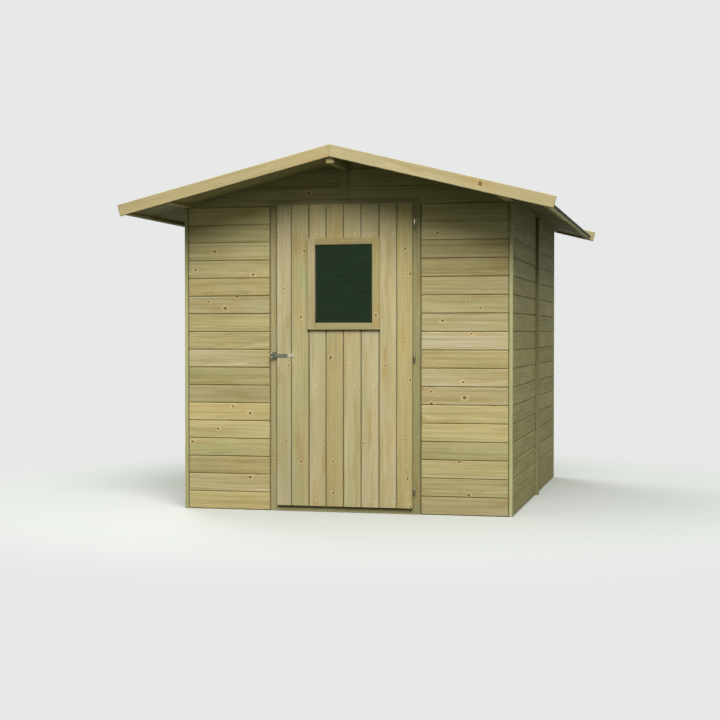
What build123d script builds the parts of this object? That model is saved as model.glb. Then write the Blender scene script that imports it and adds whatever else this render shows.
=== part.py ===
"""Panel-built timber garden shed with a pitched roof and one boarded door.

Millimetres. X runs to the right seen from the front, Y from the front to the rear, Z up.
The origin is on the ground under the middle of the roof.
"""
from build123d import *
import math
import os

# Walls: horizontal boards on upright studs, two panels to a side
wall_width = 1974.0             # across the outer faces of the side boards
wall_depth = 2400.0             # from the front boards' face to the rear boards' face
wall_height = 1802.0            # to the top of the side walls
board_thickness = 16.0
stud_width = 45.0
stud_depth = 28.0
panel_gap = 6.0                 # left between the end studs of two panels that meet

# Cover strips over the panel joints, and narrow ones at the corners
strip_width = 45.0
strip_thickness = 20.0
corner_strip_width = 20.0
corner_strip_lip = 5.0          # beyond the end wall's boards
corner_gap = 6.0                # shadow gap between a corner strip and the end wall's boards

# Doorway frame
doorway_width = 780.0           # clear, between the jambs
doorway_drop = 16.0             # from the side walls' top to the underside of the head
jamb_width = 60.0
jamb_depth = 45.0
jamb_gap = 9.0                  # shadow gap between a jamb and the wall boards
head_height = 50.0
sill_height = 56.0

# Door leaf, laid over the doorway frame
door_overlap = 20.0             # over the frame on every side
door_clearance = 5.0            # between the leaf's back and the frame
door_thickness = 16.0
ledge_thickness = 28.0
ledge_height = 70.0
ledge_end_gap = 20.0            # between a ledge's end and the jamb
low_ledge_gap = 8.0             # from the sill up to the lowest ledge
middle_ledge_drop = 292.0       # from the window frame down to the middle ledge
top_ledge_gap = 9.0             # from the window frame up to the top ledge

# Window in the door
window_width = 435.0            # over the outer frame
window_height = 537.0
window_top_inset = 197.0        # from the leaf's top to the frame's upper edge
window_stile_width = 46.0
window_rail_width = 40.0
window_frame_thickness = 16.0
window_side_lap = 6.5           # of the frame over the boards at its sides
window_end_lap = 20.0           # of the frame over the boards above and below
pane_thickness = 4.0
pane_clearance = 2.0            # round the pane in the boards

# Screw-in barrel hinges on the door's right edge
hinge_radius = 6.5
hinge_length = 45.0
hinge_pin_radius = 3.0
hinge_pin_clearance = 0.05
hinge_pin_end_gap = 2.5         # from the pin's top to the knuckle's top
hinge_running_gap = 0.3         # between the two knuckles of a hinge
hinge_edge_gap = 1.5            # from a knuckle to the leaf's edge
hinge_shank_radius = 3.0
hinge_top_inset = 119.0         # from the leaf's top to the upper hinge's middle
hinge_bottom_inset = 108.0

# Hasp on the leaf and staple on the left jamb
hasp_height = 922.0             # ground to the hasp's middle
hasp_width = 18.0
hasp_thickness = 2.5
hasp_plate_length = 42.0
hasp_knuckle_radius = 3.5
hasp_knuckle_gap = 0.3
hasp_middle_knuckle_length = 8.4
hasp_pin_radius = 1.5
hasp_pin_clearance = 0.05
hasp_end_margin = 5.0           # strap left beyond the slot
hasp_slot_clearance = 2.5       # round the staple
hasp_axis_inset = 67.0          # from the leaf's left edge to the hasp's pivot
hasp_corner_radius = 4.0
staple_plate_width = 34.0
staple_plate_height = 36.0
staple_plate_thickness = 2.5
staple_edge_gap = 6.0           # from the leaf's left edge to the staple's plate
staple_wire_radius = 2.5
staple_spread = 12.0            # between the middles of the two legs
staple_reach = 42.0             # from the jamb's face to the loop's end

# Roof
roof_pitch = 14.0               # degrees
front_overhang = 351.0          # roof panels beyond the front boards
rear_overhang = 192.0
eave_reach = 1230.0             # ridge line to the panels' lower edge, level
deck_thickness = 16.0
panels_per_slope = 3
felt_thickness = 3.0
felt_turn_down = 12.0           # of the felt over the panels' edge
ridge_purlin_width = 46.0
ridge_purlin_height = 53.0
side_purlin_width = 45.0
side_purlin_height = 22.0       # at its inner face
bargeboard_width = 67.0
bargeboard_thickness = 18.0
bargeboard_upstand = 31.5       # above the felt
bargeboard_end_lap = 26.0       # of its end beyond the panels' lower edge, level
eave_batten_width = 28.0
eave_batten_height = 16.0
deep_batten_height = 20.0       # the first length on the right
eave_batten_gap = 10.0          # between lengths that follow each other

cut_overrun = 10.0              # of a cutting tool past the face it cuts

# Places worked out from the sizes above
roof_length = front_overhang + wall_depth + rear_overhang + 2 * bargeboard_thickness
front_y = -roof_length / 2 + bargeboard_thickness + front_overhang
rear_y = front_y + wall_depth
deck_front_y = front_y - front_overhang
deck_rear_y = rear_y + rear_overhang
half_width = wall_width / 2
inner_front_y = front_y + board_thickness
inner_rear_y = rear_y - board_thickness
middle_y = (front_y + rear_y) / 2

doorway_height = wall_height - doorway_drop
half_doorway = doorway_width / 2
jamb_outer_x = half_doorway + jamb_width
head_top_z = doorway_height + head_height
half_leaf = half_doorway + door_overlap
leaf_bottom_z = sill_height - door_overlap
leaf_top_z = doorway_height + door_overlap
leaf_back_y = front_y - door_clearance
leaf_face_y = leaf_back_y - door_thickness
window_top_z = leaf_top_z - window_top_inset
window_bottom_z = window_top_z - window_height

slope_sine = math.sin(math.radians(roof_pitch))
slope_cosine = math.cos(math.radians(roof_pitch))
slope_tangent = math.tan(math.radians(roof_pitch))
side_purlin_outer_x = half_width
side_purlin_inner_x = side_purlin_outer_x - side_purlin_width
ridge_z = wall_height + side_purlin_height + side_purlin_inner_x * slope_tangent
ridge_purlin_bottom_z = ridge_z - ridge_purlin_height
half_ridge_purlin = ridge_purlin_width / 2
bargeboard_reach = eave_reach + bargeboard_end_lap


def slab(x_low, x_high, y_low, y_high, z_low, z_high):
    """A sawn piece between two opposite corners."""
    box = Box(x_high - x_low, y_high - y_low, z_high - z_low)
    return Pos((x_low + x_high) / 2, (y_low + y_high) / 2, (z_low + z_high) / 2) * box


def section_along(points, y_low, y_high):
    """A section across the shed, given as (x, z) points, carried along it from y_low to y_high."""
    section = Plane.XZ.offset(-y_high) * make_face(Polyline(*points, close=True))
    return extrude(section, amount=y_high - y_low)


def upright_rod(radius, x, y, z_low, z_high):
    """A round piece standing along Z."""
    return Pos(x, y, (z_low + z_high) / 2) * Cylinder(radius, z_high - z_low)


def other_side(shape):
    """The same piece on the other side of the shed."""
    return mirror(shape, about=Plane.YZ)


def underside_z(x):
    """Height of the roof panels' underside, x to the right of the ridge line."""
    return ridge_z - x * slope_tangent


def slope_point(reach, lift):
    """A point of the right slope: reach along the panels' underside, lift square above it."""
    return (reach + lift * slope_sine, underside_z(reach) + lift * slope_cosine)


def ridge_point(lift):
    """Where a layer that lies lift above the panels' underside meets the ridge line."""
    return (0, ridge_z + lift / slope_cosine)


def slope_layer(low_lift, high_lift, reach):
    """Section of a roof layer from the ridge mitre to a square-cut eave."""
    return [
        ridge_point(low_lift),
        ridge_point(high_lift),
        slope_point(reach, high_lift),
        slope_point(reach, low_lift),
    ]


def side_walls():
    """Four boarded side panels, two to a side, that meet at half the depth."""
    nodes = {}
    spans = {"front": (inner_front_y, middle_y), "rear": (middle_y, inner_rear_y)}
    for place, (y_low, y_high) in spans.items():
        panel = slab(half_width - board_thickness, half_width, y_low, y_high, 0, wall_height)
        nodes["right_wall_" + place] = panel
        nodes["left_wall_" + place] = other_side(panel)
    return nodes


def end_walls():
    """Front panels beside the doorway and the two closed panels of the rear wall."""
    end_x = half_width - corner_strip_width - corner_gap
    front = slab(jamb_outer_x + jamb_gap, end_x, front_y, inner_front_y, 0, wall_height)
    rear = slab(0, end_x, inner_rear_y, rear_y, 0, wall_height)
    return {
        "front_wall_right": front,
        "front_wall_left": other_side(front),
        "rear_wall_right": rear,
        "rear_wall_left": other_side(rear),
    }


def gables():
    """Gable halves under the roof, notched round the purlins and, in front, over the door head."""
    roof_line = [
        (side_purlin_inner_x, wall_height),
        (side_purlin_inner_x, underside_z(side_purlin_inner_x)),
        (half_ridge_purlin, underside_z(half_ridge_purlin)),
        (half_ridge_purlin, ridge_purlin_bottom_z),
        (0, ridge_purlin_bottom_z),
    ]
    over_door = [(0, head_top_z), (jamb_outer_x, head_top_z), (jamb_outer_x, wall_height)]
    front = section_along(over_door + roof_line, front_y, inner_front_y)
    rear = section_along([(0, wall_height)] + roof_line, inner_rear_y, rear_y)
    return {
        "front_gable_right": front,
        "front_gable_left": other_side(front),
        "rear_gable_right": rear,
        "rear_gable_left": other_side(rear),
    }


def cover_strips():
    """Strips that hide the panel joints: corners, middle of each side, middle of both ends."""
    outer_x = half_width + strip_thickness
    half_strip = strip_width / 2
    corner_x = half_width - corner_strip_width
    front_corner = slab(corner_x, half_width, front_y - corner_strip_lip, inner_front_y,
                        0, wall_height)
    rear_corner = slab(corner_x, half_width, inner_rear_y, rear_y + corner_strip_lip,
                       0, wall_height)
    corners = [front_corner, rear_corner, other_side(front_corner), other_side(rear_corner)]
    side = slab(half_width, outer_x, middle_y - half_strip, middle_y + half_strip, 0, wall_height)
    gable = slab(-half_strip, half_strip, front_y - strip_thickness, front_y,
                 head_top_z, ridge_purlin_bottom_z)
    rear = slab(-half_strip, half_strip, rear_y, rear_y + strip_thickness,
                0, ridge_purlin_bottom_z)
    return {
        "corner_strips": Compound(children=corners),
        "side_battens": Compound(children=[side, other_side(side)]),
        "front_gable_batten": gable,
        "rear_wall_batten": rear,
    }


def wall_studs():
    """Upright studs behind the boards: ends and middle of each side panel, ends of the others."""
    inner_x = half_width - board_thickness
    stud_x = inner_x - stud_depth
    half_gap = panel_gap / 2
    half_stud = stud_width / 2
    front_panel_y = (inner_front_y + middle_y) / 2
    rear_panel_y = (inner_rear_y + middle_y) / 2
    side_starts = [
        inner_front_y,
        front_panel_y - half_stud,
        middle_y - half_gap - stud_width,
        middle_y + half_gap,
        rear_panel_y - half_stud,
        inner_rear_y - stud_width,
    ]
    studs = []
    for y_low in side_starts:
        studs.append(slab(stud_x, inner_x, y_low, y_low + stud_width, 0, wall_height))
    front_starts = [jamb_outer_x, stud_x - panel_gap - stud_width]
    for x_low in front_starts:
        studs.append(slab(x_low, x_low + stud_width,
                          inner_front_y, inner_front_y + stud_depth, 0, wall_height))
    rear_starts = [half_gap, stud_x - panel_gap - stud_width]
    for x_low in rear_starts:
        studs.append(slab(x_low, x_low + stud_width,
                          inner_rear_y - stud_depth, inner_rear_y, 0, wall_height))
    return {"wall_studs": Compound(children=studs + [other_side(stud) for stud in studs])}


def doorway_frame():
    """Two jambs under a head, with a sill between their feet."""
    back_y = front_y + jamb_depth
    jamb = slab(half_doorway, jamb_outer_x, front_y, back_y, 0, doorway_height)
    head = slab(-jamb_outer_x, jamb_outer_x, front_y, back_y, doorway_height, head_top_z)
    sill = slab(-half_doorway, half_doorway, front_y, back_y, 0, sill_height)
    return {
        "door_jamb_right": jamb,
        "door_jamb_left": other_side(jamb),
        "door_head": head,
        "door_sill": sill,
    }


def door_leaf():
    """Boards of the leaf, split where they stop above and below the window, and three ledges."""
    hole_half_width = window_width / 2 - window_side_lap
    hole_bottom_z = window_bottom_z + window_end_lap
    hole_top_z = window_top_z - window_end_lap
    side = slab(hole_half_width, half_leaf, leaf_face_y, leaf_back_y, leaf_bottom_z, leaf_top_z)
    below = slab(-hole_half_width, hole_half_width, leaf_face_y, leaf_back_y,
                 leaf_bottom_z, hole_bottom_z)
    above = slab(-hole_half_width, hole_half_width, leaf_face_y, leaf_back_y,
                 hole_top_z, leaf_top_z)
    half_ledge = half_doorway - ledge_end_gap
    low_z = sill_height + low_ledge_gap
    middle_z = window_bottom_z - middle_ledge_drop - ledge_height
    top_z = window_top_z + top_ledge_gap
    ledges = []
    for z_low in (low_z, middle_z, top_z):
        ledges.append(slab(-half_ledge, half_ledge, leaf_back_y, leaf_back_y + ledge_thickness,
                           z_low, z_low + ledge_height))
    return {
        "door_side_boards": Compound(children=[side, other_side(side)]),
        "door_middle_boards": Compound(children=[below, above]),
        "door_ledges": Compound(children=ledges),
    }


def door_window():
    """Fixed light in the leaf: a flat frame on each face, butted at the corners, and one pane."""
    half_window = window_width / 2
    half_glass = half_window - window_stile_width
    stiles = []
    rails = []
    for face_y in (leaf_face_y - window_frame_thickness, leaf_back_y):
        back_y = face_y + window_frame_thickness
        stile = slab(half_glass, half_window, face_y, back_y, window_bottom_z, window_top_z)
        stiles += [stile, other_side(stile)]
        for z_low in (window_bottom_z, window_top_z - window_rail_width):
            rails.append(slab(-half_glass, half_glass, face_y, back_y,
                              z_low, z_low + window_rail_width))
    pane_half_width = half_window - window_side_lap - pane_clearance
    pane_margin = window_end_lap + pane_clearance
    pane = slab(-pane_half_width, pane_half_width, leaf_face_y, leaf_face_y + pane_thickness,
                window_bottom_z + pane_margin, window_top_z - pane_margin)
    return {
        "window_stiles": Compound(children=stiles),
        "window_rails": Compound(children=rails),
        "window_pane": pane,
    }


def door_hinges():
    """Barrel hinges: a pinned knuckle screwed into the jamb, and one on the leaf that turns on it."""
    axis_x = half_leaf + hinge_edge_gap + hinge_radius
    axis_y = (leaf_face_y + leaf_back_y) / 2
    half_length = hinge_length / 2
    half_gap = hinge_running_gap / 2
    top_z = leaf_top_z - hinge_top_inset
    bottom_z = leaf_bottom_z + hinge_bottom_inset
    bore_radius = hinge_pin_radius + hinge_pin_clearance
    pinned = []
    turning = []
    for middle_z in (bottom_z, (bottom_z + top_z) / 2, top_z):
        low_z = middle_z - half_length
        high_z = middle_z + half_length
        knuckle = upright_rod(hinge_radius, axis_x, axis_y, low_z, middle_z - half_gap)
        pin = upright_rod(hinge_pin_radius, axis_x, axis_y, low_z, high_z - hinge_pin_end_gap)
        jamb_shank = Cylinder(hinge_shank_radius, front_y - axis_y)
        jamb_shank_place = Pos(axis_x, (front_y + axis_y) / 2, (low_z + middle_z) / 2)
        pinned.append(knuckle + pin + jamb_shank_place * Rot(X=90) * jamb_shank)
        upper = upright_rod(hinge_radius, axis_x, axis_y, middle_z + half_gap, high_z)
        leaf_shank = Cylinder(hinge_shank_radius, axis_x - half_leaf)
        leaf_shank_place = Pos((axis_x + half_leaf) / 2, axis_y, (high_z + middle_z) / 2)
        bore = upright_rod(bore_radius, axis_x, axis_y, middle_z, high_z + cut_overrun)
        turning.append(upper + leaf_shank_place * Rot(Y=90) * leaf_shank - bore)
    return {
        "hinge_pins": Compound(children=pinned),
        "hinge_knuckles": Compound(children=turning),
    }


def hasp_and_staple():
    """Hasp plate and its slotted strap on the leaf, over a wire staple on the left jamb."""
    axis_x = -half_leaf + hasp_axis_inset
    axis_y = leaf_face_y - hasp_knuckle_radius - hasp_knuckle_gap
    low_z = hasp_height - hasp_width / 2
    high_z = hasp_height + hasp_width / 2
    half_knuckle = hasp_middle_knuckle_length / 2
    bore_radius = hasp_pin_radius + hasp_pin_clearance

    plate = slab(axis_x, axis_x + hasp_plate_length, leaf_face_y - hasp_thickness, leaf_face_y,
                 low_z, high_z)
    far_corners = plate.edges().filter_by(Axis.Y).group_by(Axis.X)[-1]
    plate = fillet(far_corners, hasp_corner_radius)
    plate += upright_rod(hasp_knuckle_radius, axis_x, axis_y, low_z, high_z)
    room_radius = hasp_knuckle_radius + hasp_knuckle_gap
    plate -= upright_rod(room_radius, axis_x, axis_y,
                         hasp_height - half_knuckle - hasp_knuckle_gap,
                         hasp_height + half_knuckle + hasp_knuckle_gap)
    plate -= upright_rod(bore_radius, axis_x, axis_y, low_z - cut_overrun, high_z + cut_overrun)

    staple_x = -half_leaf - staple_edge_gap - staple_plate_width / 2
    half_slot = staple_spread / 2 + staple_wire_radius + hasp_slot_clearance
    slot_height = 2 * (staple_wire_radius + hasp_slot_clearance)
    strap_end_x = staple_x - half_slot - hasp_end_margin
    strap_root_x = axis_x - room_radius
    strap_face_y = axis_y - hasp_thickness / 2
    strap_back_y = axis_y + hasp_thickness / 2
    strap = slab(strap_end_x, strap_root_x, strap_face_y, strap_back_y, low_z, high_z)
    end_corners = strap.edges().filter_by(Axis.Y).group_by(Axis.X)[0]
    strap = fillet(end_corners, hasp_corner_radius)
    strap -= slab(staple_x - half_slot, staple_x + half_slot,
                  strap_face_y - cut_overrun, strap_back_y + cut_overrun,
                  hasp_height - slot_height / 2, hasp_height + slot_height / 2)
    strap += slab(strap_root_x, axis_x, strap_face_y, strap_back_y,
                  hasp_height - half_knuckle, hasp_height + half_knuckle)
    strap += upright_rod(hasp_knuckle_radius, axis_x, axis_y,
                         hasp_height - half_knuckle, hasp_height + half_knuckle)
    strap += upright_rod(hasp_pin_radius, axis_x, axis_y, low_z, high_z)

    half_plate = staple_plate_width / 2
    plate_face_y = front_y - staple_plate_thickness
    staple = slab(staple_x - half_plate, staple_x + half_plate, plate_face_y, front_y,
                  hasp_height - staple_plate_height / 2, hasp_height + staple_plate_height / 2)
    staple = fillet(staple.edges().filter_by(Axis.Y), hasp_corner_radius)
    half_spread = staple_spread / 2
    bend_y = front_y - staple_reach + staple_wire_radius + half_spread
    left_foot = (staple_x - half_spread, plate_face_y, hasp_height)
    left_bend = (staple_x - half_spread, bend_y, hasp_height)
    loop_end = (staple_x, bend_y - half_spread, hasp_height)
    right_bend = (staple_x + half_spread, bend_y, hasp_height)
    right_foot = (staple_x + half_spread, plate_face_y, hasp_height)
    path = Line(left_foot, left_bend)
    path += ThreePointArc(left_bend, loop_end, right_bend)
    path += Line(right_bend, right_foot)
    wire_section = Plane(origin=left_foot, z_dir=(0, -1, 0)) * Circle(staple_wire_radius)
    staple += sweep(wire_section, path=path)
    return {"hasp_plate": plate, "hasp_strap": strap, "hasp_staple": staple}


def purlins():
    """Ridge purlin with a roof-shaped top, and a bevelled purlin on each side wall."""
    ridge = section_along([
        (-half_ridge_purlin, ridge_purlin_bottom_z),
        (half_ridge_purlin, ridge_purlin_bottom_z),
        (half_ridge_purlin, underside_z(half_ridge_purlin)),
        (0, ridge_z),
        (-half_ridge_purlin, underside_z(half_ridge_purlin)),
    ], deck_front_y, deck_rear_y)
    side = section_along([
        (side_purlin_inner_x, wall_height),
        (side_purlin_outer_x, wall_height),
        (side_purlin_outer_x, underside_z(side_purlin_outer_x)),
        (side_purlin_inner_x, underside_z(side_purlin_inner_x)),
    ], deck_front_y, deck_rear_y)
    return {
        "ridge_purlin": ridge,
        "side_purlins": Compound(children=[side, other_side(side)]),
    }


def roof_covering():
    """Boarded roof panels, three to a slope, under felt that is turned down over the eaves."""
    nodes = {}
    panel_length = (deck_rear_y - deck_front_y) / panels_per_slope
    for index in range(panels_per_slope):
        y_low = deck_front_y + index * panel_length
        panel = section_along(slope_layer(0, deck_thickness, eave_reach),
                              y_low, y_low + panel_length)
        number = str(index + 1)
        nodes["roof_panel_right_" + number] = panel
        nodes["roof_panel_left_" + number] = other_side(panel)
    felt_top = deck_thickness + felt_thickness
    felt = section_along([
        ridge_point(deck_thickness),
        ridge_point(felt_top),
        slope_point(eave_reach + felt_thickness * slope_cosine, felt_top),
        slope_point(eave_reach + felt_thickness * slope_cosine, deck_thickness - felt_turn_down),
        slope_point(eave_reach, deck_thickness - felt_turn_down),
        slope_point(eave_reach, deck_thickness),
    ], deck_front_y, deck_rear_y)
    nodes["roofing_felt_right"] = felt
    nodes["roofing_felt_left"] = other_side(felt)
    return nodes


def eave_battens():
    """Battens under the panels' lower edges, one to a panel, the first on the right deeper."""
    lengths = []
    panel_length = (deck_rear_y - deck_front_y) / panels_per_slope
    inner_reach = eave_reach - eave_batten_width * slope_cosine
    for index in range(panels_per_slope):
        y_low = deck_front_y + index * panel_length
        y_high = y_low + panel_length - eave_batten_gap
        shallow = section_along([
            slope_point(inner_reach, 0),
            slope_point(eave_reach, 0),
            slope_point(eave_reach, -eave_batten_height),
            slope_point(inner_reach, -eave_batten_height),
        ], y_low, y_high)
        deep = section_along([
            slope_point(inner_reach, 0),
            slope_point(eave_reach, 0),
            slope_point(eave_reach, -deep_batten_height),
            slope_point(inner_reach, -deep_batten_height),
        ], y_low, y_high)
        lengths.append(deep if index == 0 else shallow)
        lengths.append(other_side(shallow))
    return {"eave_battens": Compound(children=lengths)}


def bargeboards():
    """Boards on both ends of the roof, mitred at the ridge and cut square at the eaves."""
    top_lift = deck_thickness + felt_thickness + bargeboard_upstand
    section = slope_layer(top_lift - bargeboard_width, top_lift, bargeboard_reach)
    front = section_along(section, deck_front_y - bargeboard_thickness, deck_front_y)
    rear = section_along(section, deck_rear_y, deck_rear_y + bargeboard_thickness)
    return {
        "bargeboard_front_right": front,
        "bargeboard_front_left": other_side(front),
        "bargeboard_rear_right": rear,
        "bargeboard_rear_left": other_side(rear),
    }


pieces = {}
for make in (side_walls, end_walls, gables, cover_strips, wall_studs, doorway_frame, door_leaf,
             door_window, door_hinges, hasp_and_staple, purlins, roof_covering, eave_battens,
             bargeboards):
    pieces.update(make())

os.makedirs("parts", exist_ok=True)
for name, shape in pieces.items():
    export_step(shape, os.path.join("parts", name + ".step"))
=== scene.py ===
import bmesh
import bpy
import math
import random
from mathutils import Matrix, Vector


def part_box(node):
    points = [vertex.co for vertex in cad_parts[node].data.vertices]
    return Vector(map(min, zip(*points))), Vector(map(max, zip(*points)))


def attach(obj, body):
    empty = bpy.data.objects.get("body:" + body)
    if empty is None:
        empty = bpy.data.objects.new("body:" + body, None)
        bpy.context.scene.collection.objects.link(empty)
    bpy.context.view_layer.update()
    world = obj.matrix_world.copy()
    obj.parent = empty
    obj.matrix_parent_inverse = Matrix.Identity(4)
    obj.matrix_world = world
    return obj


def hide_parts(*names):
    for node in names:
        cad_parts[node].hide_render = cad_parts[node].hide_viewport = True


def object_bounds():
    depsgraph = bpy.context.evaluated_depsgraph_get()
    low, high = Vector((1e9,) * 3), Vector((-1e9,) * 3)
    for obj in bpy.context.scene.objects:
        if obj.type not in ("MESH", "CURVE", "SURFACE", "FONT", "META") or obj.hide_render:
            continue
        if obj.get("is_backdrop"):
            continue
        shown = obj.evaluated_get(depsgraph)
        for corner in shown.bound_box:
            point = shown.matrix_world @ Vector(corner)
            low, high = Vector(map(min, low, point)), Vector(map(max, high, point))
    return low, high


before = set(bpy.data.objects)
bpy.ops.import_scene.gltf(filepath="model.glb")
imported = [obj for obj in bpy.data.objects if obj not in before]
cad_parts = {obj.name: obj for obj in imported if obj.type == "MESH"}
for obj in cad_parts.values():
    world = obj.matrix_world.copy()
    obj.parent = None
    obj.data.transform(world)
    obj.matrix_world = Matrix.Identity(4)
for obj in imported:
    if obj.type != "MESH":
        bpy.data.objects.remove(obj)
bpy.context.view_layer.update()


# Wall boards: planed softwood, tongued and grooved, with a small V where two boards meet.
# Seventeen lie level above each other on every wall, nailed through to the studs behind,
# and the timber is green-tinted by the salts it was pressure treated with.
courses = 17
wall_v_joint = 0.0036
wall_open_joint = 0.0030
tongue_length = 0.005
tongue_play = 0.0004
tongue_share = 0.34
groove_share = 0.66
face_step = 0.0005
board_step = 0.16
brad_radius = 0.0016
brad_height = 0.0008
brad_edge_share = 0.27
head_taper = 0.7
stud_middle = 0.0225
ring_width = 0.0048
cut_along = (0, 60)
cut_across = (-0.035, 0.035)
cut_from_pith = (0.018, 0.075)
usual_warmth = (-0.6, 0.6)
usual_bleach = (-0.5, 0.75)
knot_keys = ("knot_1", "knot_2", "knot_3")
knot_radii = (0.0022, 0.0050)
knot_band = (0.08, 0.92)
knot_growth = 1.3
knot_oval = (0.75, 1.0, 0.0)
knot_tail = (0.15, 1.0, 0.0)
no_knot = Vector((0, 0, 1e-6))
far_from_knots = 60.0
front_knots = (
    (-0.77, 1.72, 0.003), (-0.80, 1.54, 0.005), (-0.92, 1.43, 0.004), (-0.56, 1.40, 0.005),
    (-0.66, 1.27, 0.004), (-0.84, 1.24, 0.004), (-0.735, 1.20, 0.006), (-0.70, 1.045, 0.003),
    (-0.685, 0.615, 0.004), (-0.58, 0.575, 0.005), (-0.78, 0.48, 0.004), (-0.94, 0.40, 0.005),
    (-0.58, 0.195, 0.005), (0.55, 1.71, 0.003), (0.55, 1.63, 0.004), (0.845, 1.275, 0.003),
    (0.73, 1.255, 0.003), (0.80, 1.195, 0.004), (0.58, 1.125, 0.005), (0.75, 1.05, 0.004),
    (0.70, 0.77, 0.004), (0.515, 0.715, 0.004), (0.71, 0.68, 0.006), (0.515, 0.645, 0.005),
    (0.88, 0.635, 0.003), (0.68, 0.31, 0.004), (0.735, 0.12, 0.005),
)


class Finish:
    """A finish in the making, with the kinds of node that the shed's finishes share."""

    def __init__(self, holder):
        holder.use_nodes = True
        self.material = holder
        self.tree = holder.node_tree
        self.shader = self.tree.nodes.get("Principled BSDF")

    def node(self, kind, **settings):
        made = self.tree.nodes.new("ShaderNode" + kind)
        for key, value in settings.items():
            setattr(made, key, value)
        return made

    def feed(self, socket, value):
        if isinstance(value, bpy.types.NodeSocket):
            self.tree.links.new(value, socket)
        else:
            socket.default_value = value

    def surface(self, socket, value):
        self.feed(self.shader.inputs[socket], value)

    def place(self):
        return self.node("TexCoord").outputs["Object"]

    def calc(self, operation, *terms):
        made = self.node("Math", operation=operation)
        for socket, term in zip(made.inputs, terms):
            self.feed(socket, term)
        return made.outputs[0]

    def vector(self, operation, *terms):
        made = self.node("VectorMath", operation=operation)
        for socket, term in zip(made.inputs, terms):
            self.feed(socket, term)
        return made.outputs["Value" if operation == "LENGTH" else "Vector"]

    def parts(self, vector):
        made = self.node("SeparateXYZ")
        self.feed(made.inputs[0], vector)
        return made.outputs

    def noise(self, vector, scale, detail=2.0, rough=0.5, output=0):
        made = self.node("TexNoise")
        self.feed(made.inputs["Vector"], vector)
        made.inputs["Scale"].default_value = scale
        made.inputs["Detail"].default_value = detail
        made.inputs["Roughness"].default_value = rough
        return made.outputs[output]

    def stretched(self, vector, scales, detail=2.0, rough=0.5, output=0):
        return self.noise(self.vector("MULTIPLY", vector, scales), 1.0, detail, rough, output)

    def ease(self, value, start, end, low=0.0, high=1.0):
        made = self.node("MapRange", interpolation_type="SMOOTHSTEP")
        for socket, term in zip(made.inputs, (value, start, end, low, high)):
            self.feed(socket, term)
        return made.outputs[0]

    def fall_off(self, reach, rate):
        squared = self.calc("MULTIPLY", reach, reach)
        return self.calc("EXPONENT", self.calc("MULTIPLY", squared, -rate))

    def blend(self, share, first, second, mode="MIX"):
        made = self.node("Mix", data_type="RGBA", blend_type=mode)
        self.feed(made.inputs[0], share)
        self.feed(made.inputs[6], first)
        self.feed(made.inputs[7], second)
        return made.outputs[2]

    def bump(self, height, strength, distance):
        made = self.node("Bump")
        made.inputs["Strength"].default_value = strength
        made.inputs["Distance"].default_value = distance
        self.feed(made.inputs["Height"], height)
        self.surface("Normal", made.outputs[0])


def srgb(red, green, blue):
    """A colour as it looks on a screen, 0 to 255, as the shader wants it."""
    made = []
    for value in (red, green, blue):
        share = value / 255
        made.append(share / 12.92 if share <= 0.04045 else ((share + 0.055) / 1.055) ** 2.4)
    return (*made, 1.0)


stain_brown = srgb(174, 142, 84)
knot_tail_brown = srgb(182, 146, 88)
knot_halo_cream = srgb(212, 197, 148)
knot_heart_brown = srgb(128, 96, 56)
knot_rim_brown = srgb(84, 62, 34)


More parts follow.
